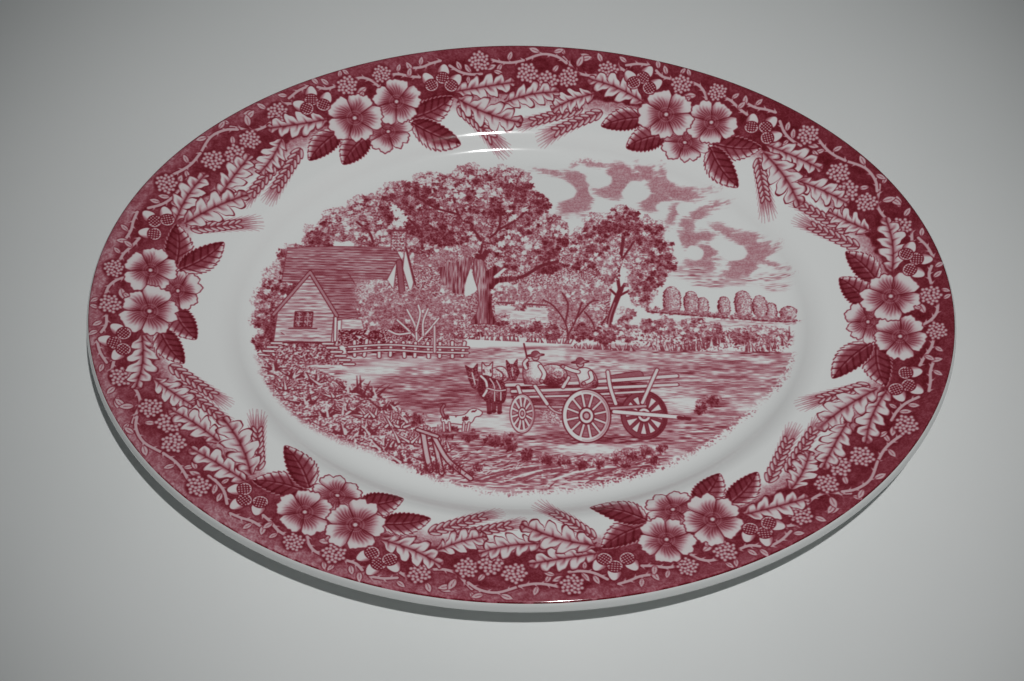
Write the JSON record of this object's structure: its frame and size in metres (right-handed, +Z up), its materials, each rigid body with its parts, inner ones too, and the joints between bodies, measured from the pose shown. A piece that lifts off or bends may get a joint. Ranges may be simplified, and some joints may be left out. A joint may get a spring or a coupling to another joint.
{
  "type": "oval serving platter",
  "caption": "Shallow oval serving platter in glazed earthenware with a thick rounded lip, a low foot ring, a crimson printed rim and a printed country scene in the well.",
  "frame": {"origin": "middle of the platter's outline, on the plane that the foot ring stands on", "axes": "+X along the platter's length, towards the right end with the scene upright; +Y across its width, towards the top of the scene; +Z up"},
  "size_m": [0.31, 0.238, 0.022],
  "materials": {
    "bare_clay": "unglazed fired earthenware, matt and slightly rough",
    "white_glaze": "clear gloss glaze over a cool white body",
    "scene_print": "crimson line engraving under clear gloss glaze on white",
    "border_print": "dense crimson print with white reserved flowers and leaves under clear gloss glaze"
  },
  "bodies": {
    "root": {"clay_body": "bare_clay", "underside_glaze": "white_glaze", "base_glaze": "white_glaze", "lip_glaze": "white_glaze", "well_print": "scene_print", "border_print_1": "border_print", "border_print_2": "border_print", "border_print_3": "border_print", "border_print_4": "border_print", "border_print_5": "border_print", "border_print_6": "border_print"}
  },
  "joints": []
}
